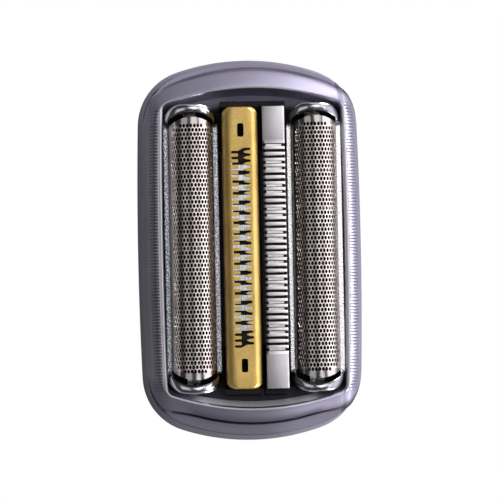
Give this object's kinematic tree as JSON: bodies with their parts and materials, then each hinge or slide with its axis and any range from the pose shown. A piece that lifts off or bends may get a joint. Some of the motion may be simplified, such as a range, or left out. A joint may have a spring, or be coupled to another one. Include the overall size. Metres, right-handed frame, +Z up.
{
  "type": "shaver foil head",
  "caption": "Clip-on electric shaver cassette: sprung perforated foils over oscillating blade stacks, with a gilt lifting trimmer and a slotted steel trimmer between them.",
  "frame": {"origin": "middle of the rim that the cassette stands on", "axes": "+X across the row of cutters from the gilt trimmer to the steel one, +Y along the cutters, +Z up out of the foils"},
  "size_m": [0.035, 0.06, 0.0176],
  "materials": {
    "silver_shell": "satin metallic paint",
    "dark_chassis": "matte",
    "plated_ring": "chrome plated",
    "foil_nickel": "polished",
    "blade_steel": "ground",
    "gilt_comb": "gilt coating",
    "steel_comb": "brushed",
    "black_plastic": "matte",
    "spring_steel": "drawn wire"
  },
  "bodies": {
    "frame": {"outer_frame": "silver_shell", "chassis": "dark_chassis", "float_spring_left_front": "spring_steel", "float_spring_left_rear": "spring_steel", "float_spring_right_front": "spring_steel", "float_spring_right_rear": "spring_steel", "float_spring_lift_front": "spring_steel", "float_spring_lift_rear": "spring_steel", "float_spring_direct_front": "spring_steel", "float_spring_direct_rear": "spring_steel"},
    "left_foil": {"foil_frame_left": "plated_ring", "foil_left": "foil_nickel"},
    "left_cutter": {"cutter_blades_left": "blade_steel", "cutter_carrier_left": "black_plastic", "cutter_spring_left": "spring_steel"},
    "left_coupler": {"drive_coupler_left": "black_plastic"},
    "right_foil": {"foil_frame_right": "plated_ring", "foil_right": "foil_nickel"},
    "right_cutter": {"cutter_blades_right": "blade_steel", "cutter_carrier_right": "black_plastic", "cutter_spring_right": "spring_steel"},
    "right_coupler": {"drive_coupler_right": "black_plastic"},
    "lift_trimmer": {"lift_comb": "gilt_comb", "lift_holder": "black_plastic"},
    "lift_cutter": {"lift_blade": "blade_steel", "lift_driver": "black_plastic"},
    "direct_trimmer": {"direct_comb": "steel_comb", "direct_holder": "black_plastic"},
    "direct_cutter": {"direct_blade": "blade_steel", "direct_driver": "black_plastic"}
  },
  "joints": [
    {"name": "left_float", "type": "slide", "parent": "frame", "child": "left_foil", "axis": [0, 0, 1], "range_m": [-0.002, 0], "stiffness_N_per_m": 150, "springref_m": 0.004, "deforming": ["float_spring_left_front", "float_spring_left_rear"]},
    {"name": "left_cutter_stroke", "type": "slide", "parent": "left_foil", "child": "left_cutter", "axis": [0, 1, 0], "range_m": [-0.0012, 0.0012]},
    {"name": "left_coupler_lift", "type": "slide", "parent": "left_cutter", "child": "left_coupler", "axis": [0, 0, 1], "range_m": [0, 0.0011], "stiffness_N_per_m": 200, "springref_m": -0.003, "deforming": ["cutter_spring_left"]},
    {"name": "right_float", "type": "slide", "parent": "frame", "child": "right_foil", "axis": [0, 0, 1], "range_m": [-0.002, 0], "stiffness_N_per_m": 150, "springref_m": 0.004, "deforming": ["float_spring_right_front", "float_spring_right_rear"]},
    {"name": "right_cutter_stroke", "type": "slide", "parent": "right_foil", "child": "right_cutter", "axis": [0, 1, 0], "range_m": [-0.0012, 0.0012]},
    {"name": "right_coupler_lift", "type": "slide", "parent": "right_cutter", "child": "right_coupler", "axis": [0, 0, 1], "range_m": [0, 0.0011], "stiffness_N_per_m": 200, "springref_m": -0.003, "deforming": ["cutter_spring_right"]},
    {"name": "lift_float", "type": "slide", "parent": "frame", "child": "lift_trimmer", "axis": [0, 0, 1], "range_m": [-0.002, 0], "stiffness_N_per_m": 120, "springref_m": 0.004, "deforming": ["float_spring_lift_front", "float_spring_lift_rear"]},
    {"name": "lift_cutter_stroke", "type": "slide", "parent": "lift_trimmer", "child": "lift_cutter", "axis": [0, 1, 0], "range_m": [-0.0012, 0.0012]},
    {"name": "direct_float", "type": "slide", "parent": "frame", "child": "direct_trimmer", "axis": [0, 0, 1], "range_m": [-0.002, 0], "stiffness_N_per_m": 120, "springref_m": 0.004, "deforming": ["float_spring_direct_front", "float_spring_direct_rear"]},
    {"name": "direct_cutter_stroke", "type": "slide", "parent": "direct_trimmer", "child": "direct_cutter", "axis": [0, 1, 0], "range_m": [-0.0012, 0.0012]}
  ]
}
